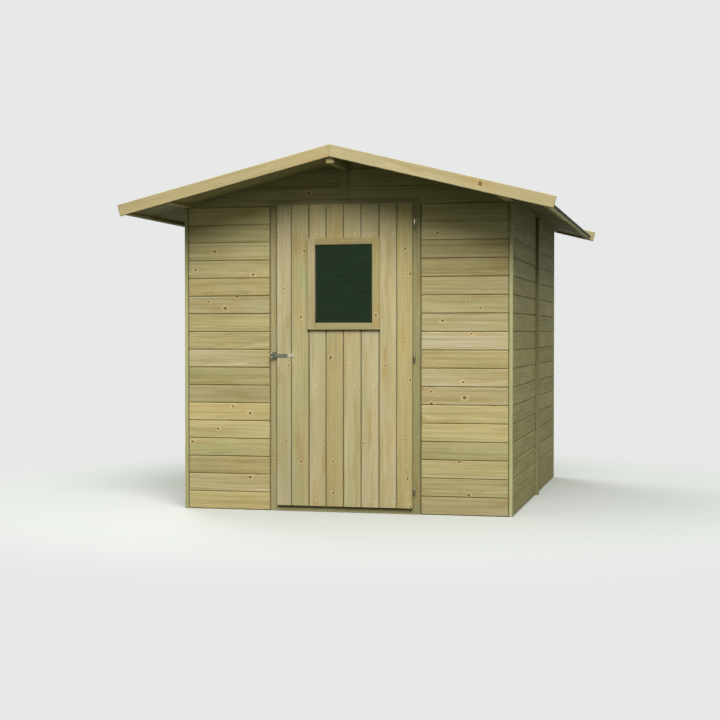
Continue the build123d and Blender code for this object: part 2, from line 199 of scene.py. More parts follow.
def timber(name, pale, late, warm, cool, grey, grain=0.85, rough=0.72, knot_ring=1.0):
    """Planed softwood cut from a round log: rings about the pith, fibres, knots and stains.
    The grain attribute holds a point's place along the board and from the pith, in metres."""
    wood = Finish(bpy.data.materials.new(name))
    place = wood.node("Attribute", attribute_name="grain").outputs["Vector"]
    tone = wood.node("Attribute", attribute_name="tone").outputs["Color"]
    shade, warmth, bleach = wood.parts(tone)

    wander = wood.stretched(place, (1.3, 6.0, 6.0), 2.0, 0.45, output=1)
    sway = wood.vector("MULTIPLY_ADD", wander, (0.0, 0.034, 0.034), (0.0, -0.017, -0.017))
    bent = wood.vector("ADD", place, sway)
    along = wood.parts(bent)[0]

    ragged = wood.noise(place, 170.0, 2.0, output=1)
    ragged = wood.vector("MULTIPLY_ADD", ragged, (0.006, 0.004, 0.0), (-0.003, -0.002, 0.0))
    reach = far_from_knots
    tail_reach = far_from_knots
    for key in knot_keys:
        spot = wood.node("Attribute", attribute_name=key).outputs["Vector"]
        radius = wood.calc("MULTIPLY", wood.parts(spot)[2], knot_growth)
        gap = wood.vector("ADD", wood.vector("SUBTRACT", place, spot), ragged)
        oval = wood.vector("LENGTH", wood.vector("MULTIPLY", gap, knot_oval))
        reach = wood.calc("MINIMUM", reach, wood.calc("DIVIDE", oval, radius))
        drawn = wood.vector("LENGTH", wood.vector("MULTIPLY", gap, knot_tail))
        tail_reach = wood.calc("MINIMUM", tail_reach, wood.calc("DIVIDE", drawn, radius))
    swell = wood.fall_off(reach, 0.06)
    tail = wood.fall_off(tail_reach, 0.16)

    from_pith = wood.vector("LENGTH", wood.vector("MULTIPLY", bent, (0.0, 1.0, 1.0)))
    from_pith = wood.calc("MULTIPLY_ADD", along, 0.0045, from_pith)
    from_pith = wood.calc("MULTIPLY_ADD", swell, 0.011, from_pith)
    flutter = wood.stretched(place, (9.0, 60.0, 60.0))
    rings = wood.calc("MULTIPLY_ADD", flutter, 0.8, wood.calc("DIVIDE", from_pith, ring_width))
    year = wood.calc("FRACT", rings)
    latewood = wood.calc("MULTIPLY", wood.ease(year, 0.25, 0.88), wood.ease(year, 1.0, 0.93))
    band = wood.stretched(place, (1.6, 30.0, 30.0), 3.0)
    latewood = wood.calc("MULTIPLY", latewood, wood.ease(band, 0.3, 0.7, 0.3, 1.0))
    fibre = wood.stretched(place, (14.0, 420.0, 420.0))
    streak = wood.stretched(bent, (1.2, 64.0, 64.0), 4.0, 0.6)
    stain = wood.stretched(bent, (2.6, 14.0, 14.0))
    cloud = wood.stretched(place, (1.9, 9.0, 9.0), 3.0, output=1)
    cloud_warm, cloud_cool, cloud_light = wood.parts(cloud)

    warm_cloud = wood.ease(cloud_warm, 0.45, 0.75, 0.0, 0.6)
    cool_cloud = wood.ease(cloud_cool, 0.45, 0.75, 0.0, 0.7)
    pale_cloud = wood.ease(cloud_light, 0.3, 0.65, 0.35, 1.0)
    colour = wood.blend(wood.calc("MULTIPLY_ADD", warmth, 0.7, warm_cloud), pale, warm)
    colour = wood.blend(wood.calc("MULTIPLY_ADD", warmth, -0.7, cool_cloud), colour, cool)
    colour = wood.blend(wood.calc("MULTIPLY", bleach, pale_cloud), colour, grey)
    colour = wood.blend(wood.ease(stain, 0.54, 0.78, 0.0, 0.65), colour, stain_brown)
    colour = wood.blend(wood.ease(streak, 0.42, 0.68, 0.0, 0.75 * grain), colour, late)
    colour = wood.blend(wood.calc("MULTIPLY", latewood, 0.7 * grain), colour, late)
    colour = wood.blend(wood.calc("MULTIPLY", tail, 0.36), colour, knot_tail_brown)
    ringed = wood.noise(place, 60.0, 1.0)
    ringed = wood.ease(ringed, 0.36, 0.64, 0.2 * knot_ring, 0.85 * knot_ring)
    halo = wood.calc("MULTIPLY", wood.ease(reach, 3.3, 1.2), ringed)
    colour = wood.blend(halo, colour, knot_halo_cream)
    core = wood.ease(reach, 1.3, 0.85)
    heart = wood.blend(wood.ease(reach, 0.2, 0.9), knot_heart_brown, knot_rim_brown)
    colour = wood.blend(wood.calc("MULTIPLY", core, 0.92), colour, heart)
    light = wood.calc("MULTIPLY_ADD", shade, 0.34, 0.86)
    light = wood.calc("MULTIPLY_ADD", fibre, 0.34, wood.calc("ADD", light, -0.17))
    light = wood.calc("MULTIPLY_ADD", cloud_light, 0.3, wood.calc("ADD", light, -0.15))
    wood.surface("Base Color", wood.blend(1.0, colour, light, "MULTIPLY"))

    dull = wood.calc("MULTIPLY_ADD", fibre, 0.2, rough - 0.1)
    wood.surface("Roughness", wood.calc("MULTIPLY_ADD", latewood, -0.12, dull))
    wood.surface("Specular IOR Level", 0.12)
    relief = wood.calc("MULTIPLY_ADD", latewood, 0.5, wood.calc("MULTIPLY", fibre, 0.8))
    wood.bump(wood.calc("MULTIPLY_ADD", core, -0.8, relief), 0.45, 0.0006)
    return wood.material


def speckled(name, dark, pale, scale, detail, smoothest, spread=0.3, metallic=0.0):
    """A small plain piece's finish, with fine specks that are paler and rougher."""
    made = Finish(bpy.data.materials.new(name))
    specks = made.noise(made.place(), scale, detail)
    made.surface("Base Color", made.blend(specks, dark, pale))
    made.surface("Roughness", made.calc("MULTIPLY_ADD", specks, spread, smoothest))
    made.surface("Metallic", metallic)
    return made.material


def grain_layers(bm):
    """What the timber finishes read: grain and tone of each point, nearest knots of each face."""
    return (bm.verts.layers.float_vector.new("grain"), bm.verts.layers.float_color.new("tone"),
            [bm.faces.layers.float_vector.new(key) for key in knot_keys])


def mark_grain(layers, verts, corner, axes, chance, warmth=None, shade=None, bleach=None,
               joint_dirt_and_shade=0.0):
    """Gives one board its own cut from the log and its tone, darker in the joints, partly as dirt
    and partly as painted shade in the recess; returns where it was cut."""
    along, across, out = axes
    start = Vector([chance.uniform(*span) for span in (cut_along, cut_across, cut_from_pith)])
    tone = (
        chance.random() if shade is None else shade,
        chance.uniform(*usual_warmth) if warmth is None else warmth,
        max(0.0, chance.uniform(*usual_bleach)) if bleach is None else bleach,
        1.0,
    )
    deepest = min((vert.co - corner).dot(out) for vert in verts)
    for vert in verts:
        away = vert.co - corner
        vert[layers[0]] = start + Vector((away.dot(along), away.dot(across), away.dot(out)))
        in_joint = deepest + face_step < away.dot(out) < -face_step
        vert[layers[1]] = (tone[0] - joint_dirt_and_shade, *tone[1:]) if in_joint else tone
    return start


def grown_knots(chance, start, length, width, per_metre=1.3):
    """Knots that a board happens to have: along, across and radius, from where it was cut."""
    count = int(length * per_metre + chance.random())
    return [start + Vector((chance.uniform(0, length), chance.uniform(*knot_band) * width,
                            chance.uniform(*knot_radii) - start.z)) for _ in range(count)]


def placed_knots(table, start, corner, axes, length, width):
    """Those knots of a table of x, z and radius that lie on one board."""
    along, across = axes[:2]
    found = []
    for x, z, radius in table:
        away = Vector((x, corner.y, z)) - corner
        if 0 < away.dot(along) < length and 0 < away.dot(across) < width:
            found.append(start + Vector((away.dot(along), away.dot(across), radius - start.z)))
    return found


def mark_knots(layers, verts, knots):
    """Tells each face of a board the knots nearest to it."""
    for face in {face for vert in verts for face in vert.link_faces}:
        middle = sum((vert[layers[0]] for vert in face.verts), Vector()) / len(face.verts)
        near = sorted(knots, key=lambda knot: (knot.xy - middle.xy).length)
        near += [no_knot] * len(knot_keys)
        for layer, knot in zip(layers[2], near):
            face[layer] = knot


def matched_board(bm, corner, axes, length, cover, thickness, tongue=True,
                  v_joint=wall_v_joint, open_joint=wall_open_joint):
    """One tongued and grooved board; corner is on its face, at its start and grooved edge."""
    along, across, out = axes
    low = open_joint / 2
    high = cover - open_joint / 2
    top = high + (tongue_length if tongue else 0.0)
    front = thickness * tongue_share
    back = thickness * groove_share
    bed = tongue_length + tongue_play
    section = [
        (low + v_joint, 0.0), (high - v_joint, 0.0), (high, v_joint), (high, front), (top, front),
        (top, back), (high, back), (high, thickness), (low, thickness), (low, back + tongue_play),
        (low + bed, back + tongue_play), (low + bed, front - tongue_play),
        (low, front - tongue_play), (low, v_joint),
    ]
    if not tongue:
        del section[3:7]
    verts = [bm.verts.new(corner + across * rise - out * depth) for rise, depth in section]
    end = bm.faces.new(verts)
    steps = max(1, round(length / board_step))
    for step in range(steps):
        made = bmesh.ops.extrude_face_region(bm, geom=[end])["geom"]
        moved = [part for part in made if isinstance(part, bmesh.types.BMVert)]
        end = next(part for part in made if isinstance(part, bmesh.types.BMFace))
        bmesh.ops.translate(bm, verts=moved, vec=along * (length / steps))
        verts += moved
    faces = list({face for vert in verts for face in vert.link_faces})
    bmesh.ops.recalc_face_normals(bm, faces=faces)
    return verts


def brads(bm, places, out, radius, height, segments=8):
    """Small heads of nails or screws, slightly domed, pressed into the face at each place."""
    turn = out.to_track_quat("Z", "Y").to_matrix().to_4x4()
    for place in places:
        bmesh.ops.create_cone(bm, cap_ends=True, segments=segments, radius1=radius,
                              radius2=radius * head_taper, depth=height,
                              matrix=Matrix.Translation(place) @ turn)


def piece(bm, name, material, body, slot, *nodes):
    """Turns a finished bmesh into a piece that rides on its body and stands for its CAD nodes."""
    mesh = bpy.data.meshes.new(name)
    bm.to_mesh(mesh)
    bm.free()
    mesh.materials.append(material)
    made = bpy.data.objects.new(name, mesh)
    bpy.context.scene.collection.objects.link(made)
    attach(made, body)
    if nodes:
        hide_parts(*nodes)


x_axis = Vector((1, 0, 0))
y_axis = Vector((0, 1, 0))
z_axis = Vector((0, 0, 1))
wall_timber = timber("treated_wall_boards", srgb(196, 183, 134), srgb(154, 140, 90),
                     srgb(196, 172, 116), srgb(176, 171, 117), srgb(191, 180, 149))
bright_nail = speckled("bright_nail", srgb(176, 170, 142), srgb(228, 222, 194), 900.0, 2.0, 0.35,
                       metallic=1.0)

wall_chance = random.Random(11)
wall_shades = (0.1, 0.8)
# Boards lower on the walls are lighter: painted light for the light the ground throws back up.
painted_bounce_gain = 0.2
# The top courses of the front walls are lighter: painted light that thins the shade under the roof's
# overhang.
painted_light_courses = {"front_wall_left": 14, "front_wall_right": 15}
painted_light_gain = 0.4
# The right front wall's boards are darker, more so above its pale course.
darkened_wall = "front_wall_right"
darkening_below_pale_course = 0.15
darkening_above_pale_course = 0.35
bleached_course = 9
bleached_tone = (-0.5, 0.9, 1.8)
front_warmth = (-0.35, 0.55)
# Side wall boards are written darker and greener than the front ones: painted shade for the shade on
# the side walls.
side_warmth = (-1.2, -0.3)
side_painted_shade_share = 0.5
side_painted_shade_loss = 0.3
# Joint recesses are darkened: partly dirt, partly painted shade.
wall_joint_dirt_and_shade = 0.6
wall_faces = {
    "front_wall_left": (x_axis, -y_axis), "front_wall_right": (x_axis, -y_axis),
    "rear_wall_left": (x_axis, y_axis), "rear_wall_right": (x_axis, y_axis),
    "left_wall_front": (y_axis, -x_axis), "left_wall_rear": (y_axis, -x_axis),
    "right_wall_front": (y_axis, x_axis), "right_wall_rear": (y_axis, x_axis),
}
wall_nails = bmesh.new()
for node, (along, out) in wall_faces.items():
    low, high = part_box(node)
    axes = (along, z_axis, out)
    cover = (high.z - low.z) / courses
    length = (high - low).dot(along)
    thickness = abs((high - low).dot(out))
    face = max(low.dot(out), high.dot(out))
    bm = bmesh.new()
    layers = grain_layers(bm)
    for course in range(courses):
        set_back = wall_chance.uniform(0, face_step)
        corner = along * low.dot(along) + out * (face - set_back) + z_axis * (low.z + course * cover)
        verts = matched_board(bm, corner, axes, length, cover, thickness - set_back,
                              course < courses - 1)
        shade = wall_chance.uniform(*wall_shades) + painted_bounce_gain * (1 - course / courses)
        if course >= painted_light_courses.get(node, courses):
            shade += painted_light_gain
        elif node == darkened_wall:
            shade -= darkening_below_pale_course if course < bleached_course else darkening_above_pale_course
        if node == darkened_wall and course == bleached_course:
            tone = bleached_tone
        elif along is x_axis:
            tone = (wall_chance.uniform(*front_warmth), shade, None)
        else:
            tone = (wall_chance.uniform(*side_warmth), side_painted_shade_share * shade - side_painted_shade_loss, 0.0)
        start = mark_grain(layers, verts, corner, axes, wall_chance, *tone, wall_joint_dirt_and_shade)
        if node.startswith("front"):
            knots = placed_knots(front_knots, start, corner, axes, length, cover)
        else:
            knots = grown_knots(wall_chance, start, length, cover)
        mark_knots(layers, verts, knots)
        spots = [corner + along * reach + z_axis * (cover * share)
                 for reach in (stud_middle, length / 2, length - stud_middle)
                 for share in (brad_edge_share, 1 - brad_edge_share)]
        brads(wall_nails, spots, out, brad_radius, brad_height)
    piece(bm, node + "_boards", wall_timber, "shed", "wall_boards", node)
piece(wall_nails, "wall_board_nails", bright_nail, "shed", "zinc_steel")


# Gables: the same softwood boards carried up under the roof, cut to its slope and notched round
# the purlins and the door head. Each course is sawn from the gable's outline.
course_height = cover
gable_saw_gap = 0.0006
gable_chance = random.Random(23)
# Gable boards are written darker and greener than the walls': painted shade for the shade under the
# roof. The right gable's boards are lighter: painted light.
gable_painted_shades = (-0.5, 0.1)
gable_warmth = (-0.8, -0.2)
right_gable_painted_light = 0.6
gable_knots = ((-0.22, 1.875, 0.005),)
touching = 1e-5
saw_play = 1e-6
flat_turn = math.radians(1)


def outline_of(node):
    """A merged copy of a CAD node's mesh, as a bmesh with whole flat faces."""
    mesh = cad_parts[node].data.copy()
    for extra in ("custom_normal", "sharp_edge", "sharp_face"):
        if mesh.attributes.get(extra):
            mesh.attributes.remove(mesh.attributes[extra])
    bm = bmesh.new()
    bm.from_mesh(mesh)
    bpy.data.meshes.remove(mesh)
    bmesh.ops.remove_doubles(bm, verts=bm.verts, dist=touching)
    bmesh.ops.dissolve_limit(bm, angle_limit=flat_turn, verts=bm.verts, edges=bm.edges)
    for face in bm.faces:
        face.smooth = False
    return bm


def saw(bm, place, away):
    """Cuts off what lies beyond a plane and closes the cut."""
    everything = bm.verts[:] + bm.edges[:] + bm.faces[:]
    cut = bmesh.ops.bisect_plane(bm, geom=everything, dist=saw_play, plane_co=place, plane_no=away,
                                 clear_outer=True)["geom_cut"]
    edges = [part for part in cut if isinstance(part, bmesh.types.BMEdge)]
    if edges:
        bmesh.ops.edgeloop_fill(bm, edges=edges)


for node, out in {"front_gable_left": -y_axis, "front_gable_right": -y_axis,
                  "rear_gable_left": y_axis, "rear_gable_right": y_axis}.items():
    low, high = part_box(node)
    axes = (x_axis, z_axis, out)
    length = high.x - low.x
    face = max(low.dot(out), high.dot(out))
    whole = bmesh.new()
    grain_layers(whole)
    course = 0
    while low.z + course * course_height < high.z:
        bottom = low.z + course * course_height
        bm = outline_of(node)
        saw(bm, z_axis * (bottom + gable_saw_gap), -z_axis)
        saw(bm, z_axis * (bottom + course_height - gable_saw_gap), z_axis)
        arris = []
        for edge in bm.edges:
            on_face = all(abs(vert.co.dot(out) - face) < touching for vert in edge.verts)
            level = abs(edge.verts[0].co.z - edge.verts[1].co.z) < touching
            if on_face and level:
                arris.append(edge)
        bmesh.ops.bevel(bm, geom=arris, offset=wall_v_joint, segments=1, profile=0.5,
                        affect="EDGES", material=-1)
        bmesh.ops.recalc_face_normals(bm, faces=bm.faces)
        layers = grain_layers(bm)
        corner = Vector((low.x, face * out.y, bottom))
        gain = right_gable_painted_light if node.endswith("right") else 0.0
        shade = gable_chance.uniform(*gable_painted_shades) + gain
        warmth = gable_chance.uniform(*gable_warmth)
        start = mark_grain(layers, bm.verts, corner, axes, gable_chance, warmth, shade, 0.0)
        knots = grown_knots(gable_chance, start, length, course_height)
        if node.startswith("front"):
            knots = placed_knots(gable_knots, start, corner, axes, length, course_height)
        mark_knots(layers, bm.verts, knots)
        board = bpy.data.meshes.new("gable_board")
        bm.to_mesh(board)
        bm.free()
        whole.from_mesh(board)
        bpy.data.meshes.remove(board)
        course += 1
    piece(whole, node + "_boards", wall_timber, "shed", "wall_boards", node)


# Studs: rough sawn softwood battens inside, at the ends and middles of the wall panels. The
# boards are nailed to them.
sawn_timber = timber("sawn_framing", srgb(186, 168, 120), srgb(152, 130, 80), srgb(190, 158, 104),
                     srgb(168, 162, 112), srgb(184, 168, 138), grain=0.6, rough=0.85)
stud_edge = 0.0015
sharp_turn = math.radians(20)
upright = 0.8


def islands(bm):
    """The separate solids of a bmesh, each as its list of vertices."""
    left = set(bm.verts)
    found = []
    for seed in bm.verts:
        if seed not in left:
            continue
        left.discard(seed)
        group = [seed]
        for vert in group:
            for edge in vert.link_edges:
                other = edge.other_vert(vert)
                if other in left:
                    left.discard(other)
                    group.append(other)
        found.append(group)
    return found


def dressed(node, along, edge, seed, warmth=None, shade=None, knots=0.9, placed=()):
    """The timbers of a CAD node with eased edges, each with its grain along it and with knots at
    random, so many to a metre, or where they are placed, by x, z and radius."""
    chance = random.Random(seed)
    side = z_axis if abs(along.dot(z_axis)) < upright else x_axis
    across = (side - along * side.dot(along)).normalized()
    axes = (along, across, along.cross(across))
    bm = outline_of(node)
    sharp = [line for line in bm.edges if line.calc_face_angle(0.0) > sharp_turn]
    bmesh.ops.bevel(bm, geom=sharp, offset=edge, segments=2, profile=0.5,
                    affect="EDGES", material=-1, clamp_overlap=True)
    layers = grain_layers(bm)
    for verts in islands(bm):
        middle = sum((vert.co for vert in verts), Vector()) / len(verts)
        start = mark_grain(layers, verts, middle, axes, chance, warmth, shade)
        reach = max((vert.co - middle).dot(along) for vert in verts)
        half = max((vert.co - middle).dot(across) for vert in verts)
        first = start - Vector((reach, half, 0))
        corner = middle - along * reach - across * half
        found = placed_knots(placed, first, corner, axes, 2 * reach, 2 * half)
        found += grown_knots(chance, first, 2 * reach, 2 * half, knots)
        mark_knots(layers, verts, found)
    return bm


piece(dressed("wall_studs", z_axis, stud_edge, 31), "studs", sawn_timber, "shed", "framing",
      "wall_studs")


# Cover strips: planed softwood laths that hide the ends of the wall boards at the corners and
# the joints between panels. Each is held by a row of small countersunk screws.
strip_timber = timber("planed_trim", srgb(189, 184, 134), srgb(160, 149, 97), srgb(186, 170, 118),
                      srgb(172, 175, 124), srgb(184, 174, 140), grain=0.6)
strip_edge = 0.002
strip_warmth = -0.25
strip_screw_radius = 0.0026
strip_screw_height = 0.0008
strip_screw_rows = (0.07, 0.36, 0.64, 0.93)
strip_screw_inset = 0.010
# The side and front gable strips are written much darker than the others: painted shade beside the
# side battens and under the roof.
strip_pieces = {
    "corner_strips": ("corner_cover_strips", 41, 0.5),
    "side_battens": ("side_cover_strips", 42, -0.9),
    "front_gable_batten": ("front_gable_strip", 43, -0.5),
    "rear_wall_batten": ("rear_wall_strip", 44, 0.6),
}
for node, (name, seed, shade) in strip_pieces.items():
    piece(dressed(node, z_axis, strip_edge, seed, strip_warmth, shade, knots=0.0),
          name, strip_timber, "shed", "trim", node)
corner_low, corner_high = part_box("corner_strips")
corner_middle = corner_high.x - strip_screw_inset
batten_low, batten_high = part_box("side_battens")
batten_middle = (batten_low.y + batten_high.y) / 2
rear_strip_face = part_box("rear_wall_batten")[1].y
strip_screws = bmesh.new()
for share in strip_screw_rows:
    level = corner_low.z + share * (corner_high.z - corner_low.z)
    spots = []
    for side in (-1, 1):
        spots += [((side * corner_middle, corner_low.y, level), -y_axis),
                  ((side * corner_middle, corner_high.y, level), y_axis),
                  ((side * batten_high.x, batten_middle, level), x_axis * side)]
    spots.append(((0, rear_strip_face, level), y_axis))
    for spot, out in spots:
        brads(strip_screws, [Vector(spot)], out, strip_screw_radius, strip_screw_height)
piece(strip_screws, "cover_strip_screws", bright_nail, "shed", "zinc_steel")


# Doorway: two planed softwood jambs under a head, with a sill between their feet, screwed to the
# ends of the wall panels. The timber is a little greener than the boards beside it.
frame_timber = timber("doorway_frame", srgb(178, 168, 120), srgb(148, 134, 86), srgb(180, 158, 106),
                      srgb(160, 158, 110), srgb(176, 164, 132), grain=0.65)
frame_edge = 0.002
jamb_knots = ((-0.43, 1.535, 0.003), (-0.43, 1.15, 0.003), (-0.43, 0.30, 0.003))
# The right jamb is written darker and greener than the left: painted shade for the shadow the door
# leaf throws on it.
for node, along, seed, warmth, shade in (
        ("door_jamb_left", z_axis, 51, -0.1, 0.5), ("door_jamb_right", z_axis, 52, -0.6, -0.1),
        ("door_head", x_axis, 53, -0.6, 0.1), ("door_sill", x_axis, 54, -0.6, 0.3)):
    piece(dressed(node, along, frame_edge, seed, warmth, shade, knots=0.0, placed=jamb_knots),
          node + "_timber", frame_timber, "shed", "trim", node)


# Door leaf: eight upright boards like those of the walls, nailed to three level ledges on the
# inside with pale round-headed nails. Four boards stop above and below the window, and a loose
# tongue closes the joint on its left.
door_timber = timber("door_boards", srgb(190, 177, 131), srgb(156, 142, 95), srgb(192, 166, 106),
                     srgb(170, 172, 124), srgb(198, 182, 154), grain=0.5)
board_joints = (-0.319, -0.212, -0.108, -0.003, 0.103, 0.209, 0.314)
board_tones = ((-0.2, 0.45, 0.5), (-0.2, 0.4, 0.1), (0.0, 0.5, 0.4), (0.2, 0.3, 0.0),
               (0.0, 0.55, 0.35), (-0.1, 0.55, 0.5), (0.0, 0.6, 0.4), (0.4, 0.45, 0.0))
plain_edged_boards = (1, 7)
loose_tongue_board = 2
door_knots = (
    (-0.335, 1.755, 0.003), (0.13, 1.755, 0.003), (0.25, 1.755, 0.003), (-0.24, 1.535, 0.004),
    (0.365, 1.54, 0.004), (0.345, 1.395, 0.003), (0.395, 1.395, 0.004), (-0.365, 1.315, 0.003),
    (0.38, 1.235, 0.003), (-0.26, 1.145, 0.004), (-0.335, 1.11, 0.002), (0.36, 1.0, 0.003),
    (-0.08, 0.91, 0.005), (-0.335, 0.865, 0.003), (0.01, 0.865, 0.003), (0.13, 0.865, 0.003),
    (0.245, 0.865, 0.003), (0.395, 0.78, 0.004), (-0.065, 0.535, 0.003), (-0.35, 0.415, 0.003),
    (-0.115, 0.415, 0.003), (0.115, 0.41, 0.003), (0.23, 0.41, 0.003), (0.365, 0.435, 0.003),
    (-0.26, 0.295, 0.004), (-0.065, 0.30, 0.004), (0.335, 0.35, 0.003), (0.37, 0.28, 0.003),
    (0.38, 0.21, 0.004), (-0.065, 0.115, 0.004), (0.345, 0.047, 0.003), (0.395, 0.047, 0.004),
)
door_v_joint = 0.0030
door_open_joint = 0.0036
door_joint_dirt_and_shade = 1.6
door_nail_rows = (0.073, 0.745, 1.632)
door_nail_columns = (-0.390, -0.169, 0.062, 0.178, 0.294)
door_nail_radius = 0.0065
door_nail_height = 0.0016
chalky_nail = speckled("chalky_nail", srgb(196, 183, 142), srgb(220, 208, 172), 420.0, 3.0, 0.45)
door_chance = random.Random(63)
tongue_chance = random.Random(64)
side_low, side_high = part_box("door_side_boards")
hole_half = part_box("door_middle_boards")[1].x
leaf_axes = (z_axis, x_axis, -y_axis)
leaf_face = side_low.y
leaf_thickness = side_high.y - side_low.y
window_low, window_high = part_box("window_stiles")
end_lap = 0.020
hole_low = window_low.z + end_lap
hole_high = window_high.z - end_lap
joint_room = 0.005


def bar(bm, middle, size):
    """A square-edged bar of this size about its middle; returns its vertices."""
    matrix = Matrix.Translation(middle) @ Matrix.Diagonal((*size, 1.0))
    return bmesh.ops.create_cube(bm, size=1.0, matrix=matrix)["verts"]


edges = [side_low.x, *board_joints, side_high.x]
leaf_parts = {"door_side_boards": bmesh.new(), "door_middle_boards": bmesh.new()}
leaf_layers = {node: grain_layers(bm) for node, bm in leaf_parts.items()}
for index, (left, right) in enumerate(zip(edges, edges[1:])):
    beside = right < -hole_half + joint_room or left > hole_half - joint_room
    node = "door_side_boards" if beside else "door_middle_boards"
    bm = leaf_parts[node]
    layers = leaf_layers[node]
    if beside:
        runs = [(side_low.z, side_high.z)]
        left = max(left, hole_half) if left > 0 else left
        right = min(right, -hole_half) if right < 0 else right
    else:
        runs = [(side_low.z, hole_low), (hole_high, side_high.z)]
        left = max(left, -hole_half)
        right = min(right, hole_half)
    warmth, shade, bleach = board_tones[index]
    for bottom, top in runs:
        corner = Vector((left, leaf_face, bottom))
        length = top - bottom
        verts = matched_board(bm, corner, leaf_axes, length, right - left, leaf_thickness,
                              index not in plain_edged_boards, door_v_joint, door_open_joint)
        start = mark_grain(layers, verts, corner, leaf_axes, door_chance, warmth, shade, bleach,
                           door_joint_dirt_and_shade)
        knots = placed_knots(door_knots, start, corner, leaf_axes, length, right - left)
        mark_knots(layers, verts, knots)
        if index == loose_tongue_board:
            middle = corner + Vector((tongue_length / 2, leaf_thickness / 2, length / 2))
            tongue = bar(bm, middle, (door_open_joint + tongue_length,
                                      leaf_thickness * (groove_share - tongue_share), length))
            # The loose tongue is darkened like the joints: dirt and painted shade.
            mark_grain(layers, tongue, corner, leaf_axes, tongue_chance, 0.0,
                       shade - door_joint_dirt_and_shade, 0.0)
            mark_knots(layers, tongue, [])
for node, bm in leaf_parts.items():
    piece(bm, node + "_matched", door_timber, "door", "door_boards", node)
piece(dressed("door_ledges", x_axis, stud_edge, 65), "ledges", sawn_timber, "door", "framing",
      "door_ledges")
door_nails = bmesh.new()
brads(door_nails, [Vector((x, leaf_face, z)) for z in door_nail_rows for x in door_nail_columns],
      -y_axis, door_nail_radius, door_nail_height, segments=12)
piece(door_nails, "door_board_nails", chalky_nail, "door", "zinc_steel")


# Window: a flat planed frame on each face of the leaf, its stiles full height with the rails between
# them. It holds one pane of clear glass, ringed by a narrow dark strip that is painted shadow for
# the pane's set-back rebate; the glass looks dark against the unlit inside.
window_timber = timber("window_frame", srgb(179, 166, 118), srgb(152, 136, 90), srgb(180, 158, 108),
                       srgb(164, 159, 112), srgb(180, 167, 134), grain=0.5)
window_edge = 0.0025
stile_knots = ((0.195, 1.155, 0.0045), (0.20, 1.31, 0.002))
rail_width = 0.040
bead_width = 0.0045
bead_depth = 0.004
bead_edge = 0.001
glass_tint = (0.45, 0.60, 0.46, 1.0)
glass_gleam = (0.62, 1.0, 0.62, 1.0)
glass_ior = 1.38


def refinish(node, material):
    """Gives a CAD node that stays as it is a better finish."""
    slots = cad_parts[node].data.materials
    slots.clear()
    slots.append(material)


piece(dressed("window_stiles", z_axis, window_edge, 71, 0.2, 0.5, knots=0.0, placed=stile_knots),
      "window_frame_stiles", window_timber, "door", "trim", "window_stiles")
# The rails are a little darker than the stiles: painted shade for the top rail under the overhang.
piece(dressed("window_rails", x_axis, window_edge, 72, 0.1, 0.3, knots=0.0),
      "window_frame_rails", window_timber, "door", "trim", "window_rails")
glass = Finish(bpy.data.materials.new("window_glass"))
glass.surface("Base Color", glass_tint)
glass.surface("Transmission Weight", 1.0)
glass.surface("IOR", glass_ior)
glass.surface("Specular Tint", glass_gleam)
dust = glass.noise(glass.place(), 14.0, 4.0)
glass.surface("Roughness", glass.ease(dust, 0.4, 0.8, 0.01, 0.06))
refinish("window_pane", glass.material)
# A near-black finish for the strip round the pane: painted shadow in the rebate.
rebate_shadow_finish = speckled("painted_rebate_shadow", srgb(26, 28, 20), srgb(44, 46, 36), 160.0, 3.0, 0.55, 0.2)
glass_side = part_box("window_rails")[1].x - bead_width / 2
glass_middle = (window_low.z + window_high.z) / 2
glass_height = window_high.z - window_low.z - 2 * rail_width
glass_end = (glass_height - bead_width) / 2
glass_width = 2 * glass_side - bead_width
bead = bmesh.new()
for x, z, width, height in (
        (-glass_side, 0.0, bead_width, glass_height), (glass_side, 0.0, bead_width, glass_height),
        (0.0, -glass_end, glass_width, bead_width), (0.0, glass_end, glass_width, bead_width)):
    bar(bead, (x, leaf_face - bead_depth / 2, glass_middle + z), (width, bead_depth, height))
bmesh.ops.bevel(bead, geom=bead.edges[:], offset=bead_edge, segments=2, profile=0.5,
                affect="EDGES", material=-1)
bmesh.ops.recalc_face_normals(bead, faces=bead.faces)
piece(bead, "painted_shadow_bead", rebate_shadow_finish, "door", "trim")


# Hinges, hasp and staple: zinc-plated steel that has gone dull and patchy outdoors. The hinges
# are screwed into leaf and jamb by their own shanks, and round-headed screws hold the plates of
# hasp and staple.
plate_thickness = 0.0025
hasp_screw_radius = 0.0030
hasp_screw_height = 0.0022
hasp_screw_insets = (0.009, 0.026)
staple_screw_radius = 0.0048
staple_screw_height = 0.0030
staple_screw_inset = 0.0052
staple_screw_lift = 0.0130
zinc_bloom = srgb(120, 118, 98)


def weathered_zinc(name, dark, bright, dull):
    """Plating with a spangle of lighter and darker patches, finely brushed."""
    zinc = Finish(bpy.data.materials.new(name))
    place = zinc.place()
    mottle = zinc.noise(place, 130.0, 4.0, 0.6)
    brushed = zinc.stretched(place, (40.0, 900.0, 900.0))
    bloom = zinc.noise(place, 38.0, 3.0)
    colour = zinc.blend(zinc.ease(mottle, 0.3, 0.7), dark, bright)
    colour = zinc.blend(zinc.ease(bloom, 0.55, 0.75, 0.0, 0.45), colour, zinc_bloom)
    zinc.surface("Base Color", colour)
    zinc.surface("Metallic", 1.0)
    zinc.surface("Roughness", zinc.calc("MULTIPLY_ADD", brushed, 0.25, dull))
    zinc.bump(brushed, 0.15, 0.0002)
    return zinc.material


